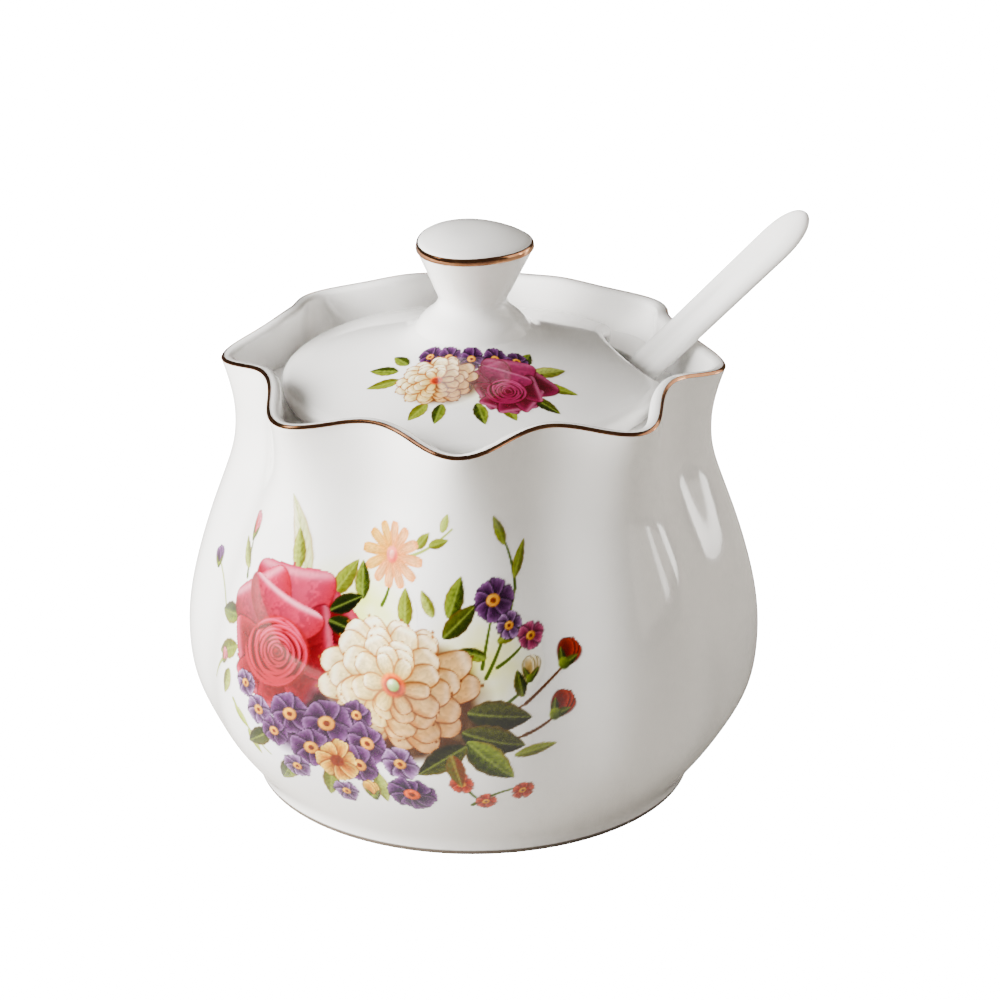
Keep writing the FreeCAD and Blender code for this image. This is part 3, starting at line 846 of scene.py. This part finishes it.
def bowl_stems(canvas):
    green, pale, brown = (0.30, 0.36, 0.10), (0.58, 0.62, 0.32), (0.36, 0.22, 0.08)
    stems = [
        ((-46, 60), (-48, 65), (-49, 69), green),
        ((-50, 49), (-59, 52), (-65, 56), pale),
        ((-50, 40), (-52, 38), (-54, 34), pale),
        ((-44.5, 34), (-40, 29), (-34, 25), pale),
        ((12.7, 50), (17, 58), (19.5, 67), green),
        ((19.5, 67), (19.6, 73), (17, 78), green),
        ((12, 52), (13, 58), (14.5, 64), green),
        ((15, 52), (19, 54), (22, 57), green),
        ((12, 44), (17, 42), (20.5, 43.6), brown),
        ((20.5, 43.6), (26, 47), (31, 51), brown),
        ((12, 39), (16, 36), (20, 37), brown),
        ((20, 37), (25, 38), (28.3, 41), brown),
        ((16, 44), (20, 46), (22, 49), green),
        ((10, 21), (14, 25), (20, 25), green),
        ((8, 27), (10, 24), (12.7, 21), green),
        ((-9, 72), (-2, 73), (5.5, 80), pale),
        ((-10, 62), (-8, 66), (-9, 70), green),
    ]
    for start, bend, end, colour in stems:
        canvas.line([start, bend, end], 0.75, colour, 0.35)


def bowl_back_leaves(canvas):
    leaves = [
        (-28, 64, 112, 19, 4.6, (0.70, 0.71, 0.52), (0.82, 0.81, 0.70), 0.06),
        (-31, 66, 100, 9, 3.4, LEAF_OLIVE, LEAF_PALE, 0.05),
        (-22, 62, 60, 9, 4.2, LEAF_OLIVE, LEAF_LIME, 0.0),
        (-15, 62, 100, 8, 3.8, LEAF_DEEP, LEAF_LIME, 0.0),
        (-46, 62, 150, 8, 3.2, LEAF_OLIVE, LEAF_PALE, 0.0),
        (-45, 52, 195, 10, 4.4, LEAF_DEEP, LEAF_LIME, 0.05),
        (-44, 46, 215, 9, 4.0, LEAF_OLIVE, LEAF_LIME, -0.05),
        (-46, 40, 250, 7, 3.0, LEAF_OLIVE, LEAF_PALE, 0.0),
        (5, 62, 70, 9, 4.0, LEAF_DEEP, LEAF_LIME, 0.05),
        (4, 58, 45, 10, 4.2, LEAF_DEEP, LEAF_OLIVE, 0.0),
        (-4, 59, 95, 8, 3.6, LEAF_OLIVE, LEAF_LIME, 0.0),
        (2, 62, 120, 6, 2.6, LEAF_OLIVE, LEAF_PALE, 0.0),
        (-3, 75, 50, 5, 2.2, LEAF_OLIVE, LEAF_LIME, 0.0),
        (0, 76, 20, 5, 2.0, LEAF_OLIVE, LEAF_LIME, 0.0),
        (3, 79, 70, 4.5, 1.9, LEAF_LIME, LEAF_PALE, 0.0),
        (17.6, 76, 110, 7, 2.4, LEAF_OLIVE, LEAF_LIME, 0.05),
        (19.4, 69, 70, 8, 2.4, LEAF_OLIVE, LEAF_LIME, -0.05),
        (13, 54, 160, 6, 2.6, LEAF_DEEP, LEAF_LIME, 0.0),
        (15, 57, 20, 6, 2.4, LEAF_OLIVE, LEAF_LIME, 0.0),
        (20, 45, 100, 6, 2.6, LEAF_DEEP, LEAF_OLIVE, 0.0),
        (18, 33, 5, 9, 2.4, LEAF_OLIVE, LEAF_LIME, 0.0),
        (-44, 33, 320, 6, 2.0, LEAF_LIME, LEAF_PALE, 0.0),
        (-40, 29, 300, 6, 2.0, LEAF_LIME, LEAF_PALE, 0.0),
    ]
    for u, v, turn, length, width, dark, light, curl in leaves:
        canvas.leaf(u, v, math.radians(turn), length, width, dark, light, curl)


def bowl_small_flowers(canvas):
    peach = (0.88, 0.62, 0.34)
    for turn in range(0, 360, 30):
        tint = GOLDEN if 90 < turn < 240 else peach
        length = 8.0 - 1.3 * abs(math.sin(math.radians(turn)))
        canvas.petal(-9, 72.5, math.radians(turn), length, 2.5, shade_of(tint, CORAL, 0.3),
                     shade_of(tint, CREAM, 0.5), edge=shade_of(tint, CORAL, 0.2), fullness=0.78, point=0.6,
                     shade=0.15, veins=0.15)
    canvas.ball(-9, 72.5, 3.4, 3.8, (0.86, 0.56, 0.50), (0.70, 0.28, 0.24))
    canvas.ball(-9, 72.5, 1.6, 2.0, (0.88, 0.70, 0.64), (0.76, 0.40, 0.34))
    blossom(canvas, 14.5, 65.5, 4.3, 7, VIOLET, LILAC, GOLDEN, 0.3)
    blossom(canvas, 17.7, 60, 2.8, 6, VIOLET, PALE_LILAC, GOLDEN, 0.1)
    blossom(canvas, 22.3, 57, 2.9, 6, (0.44, 0.08, 0.24), (0.74, 0.32, 0.48), GOLDEN, 0.6)
    bud(canvas, -49, 67.5, 5.5, 2.8, math.radians(95), (0.76, 0.24, 0.24), BLUSH)
    bud(canvas, -64.5, 54.5, 4.2, 2.4, math.radians(110), VIOLET, PALE_LILAC)
    bud(canvas, -49.5, 40, 3.4, 1.8, math.radians(70), (0.76, 0.30, 0.30), BLUSH)
    bud(canvas, 29.2, 50, 5.4, 4.6, math.radians(62), (0.40, 0.08, 0.05), (0.66, 0.26, 0.16))
    bud(canvas, 26.6, 40, 5.4, 4.6, math.radians(50), (0.42, 0.09, 0.05), (0.68, 0.28, 0.16))
    bud(canvas, 21.6, 48.5, 4.6, 3.2, math.radians(80), (0.72, 0.58, 0.28), CREAM)


def bowl_purple_cluster(canvas):
    flowers = [
        (-36, 35, 3.4, PALE_LILAC), (-40, 39.5, 2.8, PALE_LILAC), (-28, 36.4, 4.4, LILAC),
        (-13.5, 38.5, 3.2, LILAC), (-32, 31.5, 3.2, LILAC), (-20, 35.5, 5.2, LILAC),
        (-11, 33, 4.4, LILAC), (-23.5, 29.5, 4.6, LILAC), (-4, 30.4, 3.6, PALE_LILAC),
        (-13, 27.4, 4.4, LILAC), (-17, 19.5, 2.8, PALE_LILAC), (-27.5, 24, 3.0, PALE_LILAC),
    ]
    canvas.wash(-21, 33, 34, 15, (0.24, 0.13, 0.24), 1.0, 1.8)
    canvas.leaf(-33, 31, math.radians(215), 9, 4.0, LEAF_DEEP, LEAF_OLIVE)
    canvas.leaf(-27, 26, math.radians(230), 10, 4.2, LEAF_DEEP, LEAF_LIME)
    canvas.leaf(-19, 26, math.radians(255), 9, 3.8, LEAF_OLIVE, LEAF_LIME)
    canvas.leaf(-9, 27, math.radians(280), 8, 3.4, LEAF_OLIVE, LEAF_PALE)
    for u, v, radius, light in flowers:
        turn = (u * 0.7 + v) % 1.0
        blossom(canvas, u, v, radius, 6, VIOLET, light, GOLDEN, turn, 0.95, 0.85)
    blossom(canvas, -18, 27.3, 4.6, 7, (0.72, 0.36, 0.04), (0.94, 0.76, 0.26), RUST, 0.4)
    bud(canvas, -10.4, 19.6, 4.6, 3.0, math.radians(100), (0.74, 0.48, 0.06), (0.94, 0.80, 0.36))
    blossom(canvas, -2, 23, 4.9, 9, (0.14, 0.04, 0.20), LILAC, (0.86, 0.40, 0.10), 0.2, 0.85, 0.62)
    for u, v, radius in ((8, 27, 2.4), (12.7, 22, 2.2), (20, 24, 2.2)):
        blossom(canvas, u, v, radius, 5, (0.70, 0.20, 0.12), CORAL, GOLDEN, 0.3)


def bowl_front_leaves(canvas):
    leaves = [
        (9, 43, -8, 13, 6.6, LEAF_DARK, LEAF_OLIVE, -0.05),
        (8, 39, -22, 13, 6.6, LEAF_DARK, LEAF_OLIVE, 0.06),
        (9, 37, -48, 13, 6.2, LEAF_DEEP, LEAF_LIME, 0.05),
        (9, 36, 215, 12, 5.4, LEAF_DARK, LEAF_OLIVE, 0.05),
        (6, 34, -75, 8, 3.6, LEAF_OLIVE, RUST, 0.0),
    ]
    for u, v, turn, length, width, dark, light, curl in leaves:
        canvas.leaf(u, v, math.radians(turn), length, width, dark, light, curl)


def paint_lid():
    canvas = Canvas(*LID_PRINT, LID_CELL, PORCELAIN_WHITE)
    canvas.wash(-1, -21, 36, 17, (0.78, 0.80, 0.46), 0.35)
    leaves = [
        (-15, -15, 155, 6.5, 3.0, LEAF_DEEP, LEAF_LIME), (-14.5, -18, 185, 7, 3.0, LEAF_OLIVE, LEAF_LIME),
        (-13, -13.5, 125, 5, 2.6, LEAF_DEEP, LEAF_LIME), (-9, -26.5, 230, 6, 3.0, LEAF_OLIVE, LEAF_LIME),
        (-6, -27, 255, 6, 2.8, LEAF_DEEP, LEAF_LIME), (1, -27, 285, 6.5, 3.0, LEAF_DEEP, LEAF_LIME),
        (6, -26.5, 300, 6, 3.0, LEAF_OLIVE, LEAF_LIME), (12, -17, 30, 8, 3.4, LEAF_OLIVE, LEAF_PALE),
        (12.5, -19.5, -8, 9, 3.2, LEAF_OLIVE, LEAF_LIME), (10, -15, 70, 5, 2.6, LEAF_DEEP, LEAF_LIME),
        (12, -24, -35, 7, 3.0, LEAF_DEEP, LEAF_OLIVE),
    ]
    for x, y, turn, length, width, dark, light in leaves:
        canvas.leaf(x, y, math.radians(turn), length, width, dark, light)
    violets = [
        (-8.6, -12.4, 2.3), (-4.8, -13.6, 2.4), (-0.2, -14.4, 2.5), (4.6, -14.0, 2.5), (9, -13.6, 2.4),
    ]
    for x, y, radius in violets:
        blossom(canvas, x, y, radius, 6, VIOLET, LILAC, GOLDEN, x % 1.0)
    rose(canvas, 7.9, -20.6, 6.9, WINE, (0.46, 0.08, 0.24), (0.66, 0.26, 0.44), (0.82, 0.56, 0.68), 0.45)
    dahlia(canvas, -7.3, -19.8, 8.6, 0.85, False)
    return canvas


def painted_object(name, canvas, grid, body, material):
    """The cells that hold paint, as one mesh that follows the glaze and carries the colours."""
    rows, columns = canvas.cover.shape
    keep = canvas.cover > COVER_LEAST
    whole = grid_faces(rows, columns, False)
    faces = whole[keep.reshape(-1)[whole].any(axis=1)]
    used, places = np.unique(faces, return_inverse=True)
    normals = grid_normals(grid, False).reshape(-1, 3)[used]
    piece = make_object(name, grid.reshape(-1, 3)[used], places.reshape(faces.shape), body,
                        material, normals)
    paint = piece.data.color_attributes.new("Paint", "FLOAT_COLOR", "POINT")
    white = np.array(PORCELAIN_WHITE)
    fired = white * np.clip(canvas.colour.reshape(-1, 3)[used] / white, 0, 1) ** PAINT_DEPTH
    colours = np.concatenate([fired, np.ones((len(used), 1))], axis=1)
    paint.data.foreach_set("color", colours.astype(np.float32).reshape(-1))


def build_bowl_print(material):
    """The large spray on the front of the wall."""
    canvas = paint_bowl()
    angles = PRINT_MIDDLE + canvas.across / PRINT_RADIUS
    rings = whole_wall(angles)
    wall = spline(rings, even_steps(rings, PRINT_CELL))
    climb = np.concatenate([np.zeros((1, len(angles))),
                            np.cumsum(np.linalg.norm(np.diff(wall, axis=0), axis=2), axis=0)])
    grid = np.empty((len(canvas.up), len(angles), 3))
    for column in range(len(angles)):
        for axis in range(3):
            grid[:, column, axis] = np.interp(canvas.up, climb[:, column], wall[:, column, axis])
    grid = grid + grid_normals(grid, False) * PRINT_PROUD
    painted_object("bowl_print", canvas, grid, "bowl", material)


def build_lid_print(material):
    """The small spray on the front of the lid."""
    canvas = paint_lid()
    height = profile_height(dome_profile(), np.hypot(canvas.u, canvas.v))
    grid = np.stack([canvas.u, canvas.v, height], axis=2)
    grid = grid + grid_normals(grid, False) * PRINT_PROUD
    painted_object("lid_print", canvas, grid, "lid", material)


# --- materials ---

def new_material(name):
    material = bpy.data.materials.new(name)
    material.use_nodes = True
    nodes, links = material.node_tree.nodes, material.node_tree.links
    return material, nodes, links, nodes["Principled BSDF"]


def noise(nodes, links, coordinates, scale, detail, roughness=0.5):
    node = nodes.new("ShaderNodeTexNoise")
    node.inputs["Scale"].default_value = scale
    node.inputs["Detail"].default_value = detail
    node.inputs["Roughness"].default_value = roughness
    links.new(coordinates, node.inputs["Vector"])
    return node.outputs["Fac"]


def mix_colours(nodes, links, first, second, factor, blend="MIX"):
    """One colour laid over another; each input is a plain value or another node's output."""
    mix = nodes.new("ShaderNodeMix")
    mix.data_type = "RGBA"
    mix.blend_type = blend
    for name, value in (("A", first), ("B", second), ("Factor", factor)):
        if isinstance(value, bpy.types.NodeSocket):
            links.new(value, mix.inputs[name])
        else:
            mix.inputs[name].default_value = value
    return mix.outputs["Result"]


def ramp(nodes, links, value, stops):
    node = nodes.new("ShaderNodeValToRGB")
    while len(node.color_ramp.elements) < len(stops):
        node.color_ramp.elements.new(0.5)
    for element, (place, colour) in zip(node.color_ramp.elements, stops):
        element.position = place
        element.color = (*colour, 1.0)
    links.new(value, node.inputs["Fac"])
    return node.outputs["Color"]


def bump(nodes, links, height, strength, distance, below=None):
    node = nodes.new("ShaderNodeBump")
    node.inputs["Strength"].default_value = strength
    node.inputs["Distance"].default_value = distance
    links.new(height, node.inputs["Height"])
    if below is not None:
        links.new(below, node.inputs["Normal"])
    return node.outputs["Normal"]


GLAZE_COAT = 0.35
# The foot's unglazed edge plus a painted contact shadow: a near-black band up to this height.
FOOT_BARE_AND_SHADOW_TOP = 0.0012              # metres above the table
FOOT_BARE_AND_SHADOW = (0.10, 0.075, 0.055)
GLAZE_LIGHT = (0.875, 0.868, 0.852)
GLAZE_WARM = (0.852, 0.838, 0.815)
SPECKS = [(0.0, (0.70, 0.66, 0.60)), (0.2, (0.86, 0.84, 0.82)), (0.24, (1.0, 1.0, 1.0))]


def glaze_finish(nodes, links, shader):
    """The clear glaze: gloss that varies a little, slow waves and faint orange peel."""
    coordinates = nodes.new("ShaderNodeTexCoord").outputs["Object"]
    gloss = noise(nodes, links, coordinates, 60.0, 3.0)
    links.new(ramp(nodes, links, gloss, [(0.3, (0.07, 0.07, 0.07)), (0.75, (0.13, 0.13, 0.13))]),
              shader.inputs["Roughness"])
    slow = noise(nodes, links, coordinates, 45.0, 1.0)
    peel = noise(nodes, links, coordinates, 900.0, 2.0)
    waves = bump(nodes, links, slow, 0.25, 0.0012)
    links.new(bump(nodes, links, peel, 0.08, 0.00005, waves), shader.inputs["Normal"])
    shader.inputs["IOR"].default_value = 1.52
    shader.inputs["Coat Weight"].default_value = GLAZE_COAT
    shader.inputs["Coat Roughness"].default_value = 0.03
    return coordinates


def bare_foot_and_shadow(nodes, links, coordinates, glazed):
    """The foot's unglazed edge below the glaze, painted near black as well for the contact shadow where the
    bowl stands on the floor.
    """
    split = nodes.new("ShaderNodeSeparateXYZ")
    links.new(coordinates, split.inputs["Vector"])
    low = nodes.new("ShaderNodeMapRange")
    low.inputs["From Min"].default_value = FOOT_BARE_AND_SHADOW_TOP * 0.7
    low.inputs["From Max"].default_value = FOOT_BARE_AND_SHADOW_TOP
    links.new(split.outputs["Z"], low.inputs["Value"])
    return mix_colours(nodes, links, (*FOOT_BARE_AND_SHADOW, 1.0), glazed, low.outputs["Result"])


def porcelain(name, foot=False):
    material, nodes, links, shader = new_material(name)
    coordinates = glaze_finish(nodes, links, shader)
    body = noise(nodes, links, coordinates, 25.0, 4.0)
    tint = ramp(nodes, links, body, [(0.3, GLAZE_WARM), (0.7, GLAZE_LIGHT)])
    speck = noise(nodes, links, coordinates, 1400.0, 2.0)
    dots = ramp(nodes, links, speck, SPECKS)
    colour = mix_colours(nodes, links, tint, dots, 0.35, "MULTIPLY")
    # the foot's bare edge, darkened as a painted contact shadow
    if foot:
        colour = bare_foot_and_shadow(nodes, links, coordinates, colour)
    links.new(colour, shader.inputs["Base Color"])
    return material


def printed(name):
    """Ceramic colours fired into the glaze, taken from the paint laid on the mesh."""
    material, nodes, links, shader = new_material(name)
    glaze_finish(nodes, links, shader)
    paint = nodes.new("ShaderNodeVertexColor")
    paint.layer_name = "Paint"
    links.new(paint.outputs["Color"], shader.inputs["Base Color"])
    return material


def fired_gold(name):
    material, nodes, links, shader = new_material(name)
    coordinates = nodes.new("ShaderNodeTexCoord").outputs["Object"]
    # Base colour mottled from dark brown to orange: painted dark reflections with orange glints, as if the
    # gold mirrored a dark room.
    reflection_mottle = noise(nodes, links, coordinates, 160.0, 5.0, 0.6)
    tone = ramp(nodes, links, reflection_mottle, [(0.30, (0.26, 0.12, 0.07)), (0.52, (0.46, 0.22, 0.11)),
                                     (0.74, (0.66, 0.36, 0.18))])
    links.new(tone, shader.inputs["Base Color"])
    rough = noise(nodes, links, coordinates, 600.0, 3.0)
    links.new(ramp(nodes, links, rough, [(0.3, (0.10, 0.10, 0.10)), (0.8, (0.20, 0.20, 0.20))]),
              shader.inputs["Roughness"])
    links.new(bump(nodes, links, rough, 0.08, 0.00005), shader.inputs["Normal"])
    shader.inputs["Metallic"].default_value = 1.0
    return material


# --- light, floor and camera ---

CAMERA_DISTANCE = 0.900
CAMERA_RISE = 0.4128
CAMERA_AIM = (0.0056, 0.0, 0.05919)
CAMERA_LENS = 154.8
WALL_SEEN = (40.0, 40.0, 40.0)
WALL_LIT = (0.11, 0.095, 0.078)
FLOOR_SEEN = (24.0, 24.0, 24.0)
FLOOR_LIT = (0.05, 0.05, 0.05)
FLOOR_HALF = 3.0


def build_camera():
    data = bpy.data.cameras.new("camera")
    camera = bpy.data.objects.new("camera", data)
    bpy.context.scene.collection.objects.link(camera)
    back = Vector((0.0, -math.cos(CAMERA_RISE), math.sin(CAMERA_RISE)))
    camera.location = Vector(CAMERA_AIM) + back * CAMERA_DISTANCE
    camera.rotation_mode = "QUATERNION"
    camera.rotation_quaternion = (-back).to_track_quat("-Z", "Y")
    data.sensor_width = 36.0
    data.lens = CAMERA_LENS
    data.clip_start = 0.01
    data.clip_end = 20.0
    bpy.context.scene.camera = camera


def area_light(name, place, aim, size, power, colour=(1.0, 1.0, 1.0), mirrored=True):
    data = bpy.data.lights.new(name, "AREA")
    data.shape = "RECTANGLE"
    data.size, data.size_y = size
    data.energy = power
    data.color = colour
    lamp = bpy.data.objects.new(name, data)
    lamp.location = place
    lamp.visible_glossy = mirrored
    lamp.rotation_mode = "QUATERNION"
    lamp.rotation_quaternion = (Vector(aim) - Vector(place)).to_track_quat("-Z", "Y")
    bpy.context.scene.collection.objects.link(lamp)


def seen_or_lit(nodes, links, seen, lit):
    """A grey that is one value where the camera looks at it and another where it lights the bowl."""
    camera_ray = nodes.new("ShaderNodeLightPath").outputs["Is Camera Ray"]
    return mix_colours(nodes, links, (*lit, 1.0), (*seen, 1.0), camera_ray)


def build_studio():
    world = bpy.data.worlds.new("studio")
    world.use_nodes = True
    nodes, links = world.node_tree.nodes, world.node_tree.links
    links.new(seen_or_lit(nodes, links, WALL_SEEN, WALL_LIT), nodes["Background"].inputs["Color"])
    bpy.context.scene.world = world
    aim = (0.0, 0.0, 0.06)
    area_light("key_left", (-1.05, -0.25, 0.36), aim, (1.3, 1.0), 112.0, (1.0, 0.99, 0.975), mirrored=False)
    area_light("top_soft", (-0.35, 0.20, 1.0), aim, (0.6, 0.6), 0.5)
    area_light("soft_left", (-0.55, -0.15, 0.62), aim, (0.22, 0.22), 0.5)
    warm = (1.0, 0.94, 0.86)
    area_light("panel_right", (0.75, 0.05, 0.32), aim, (1.0, 0.56), 3.6, warm)
    area_light("pane_far", (0.66, 0.23, 0.11), aim, (0.10, 0.17), 0.55, (1.0, 0.98, 0.95))
    area_light("pane_near", (0.70, -0.01, 0.14), aim, (0.07, 0.17), 0.30, (1.0, 0.98, 0.95))

    floor_mesh = bpy.data.meshes.new("floor")
    floor_mesh.from_pydata([(-FLOOR_HALF, -FLOOR_HALF, 0), (FLOOR_HALF, -FLOOR_HALF, 0),
                            (FLOOR_HALF, FLOOR_HALF, 0), (-FLOOR_HALF, FLOOR_HALF, 0)], [], [(0, 1, 2, 3)])
    floor = bpy.data.objects.new("floor", floor_mesh)
    bpy.context.scene.collection.objects.link(floor)
    material, nodes, links, shader = new_material("studio_floor")
    shader.inputs["Base Color"].default_value = (0.42, 0.395, 0.355, 1.0)
    shader.inputs["Roughness"].default_value = 0.9
    shader.inputs["Specular IOR Level"].default_value = 0.0
    links.new(seen_or_lit(nodes, links, FLOOR_SEEN, FLOOR_LIT), shader.inputs["Emission Color"])
    shader.inputs["Emission Strength"].default_value = 1.0
    floor_mesh.materials.append(material)


# --- making everything ---

build_camera()
build_studio()
bowl_glaze = porcelain("bowl_glaze_white", foot=True)
lid_glaze = porcelain("lid_glaze_white")
spoon_glaze = porcelain("spoon_glaze_white")
gold = fired_gold("fired_gold")

build_bowl(bowl_glaze)
build_rim_gilding(gold)
build_lid(lid_glaze)
build_knob(lid_glaze)
build_knob_gilding(gold)
build_spoon(spoon_glaze)
build_bowl_print(printed("bowl_print_colours"))
build_lid_print(printed("lid_print_colours"))
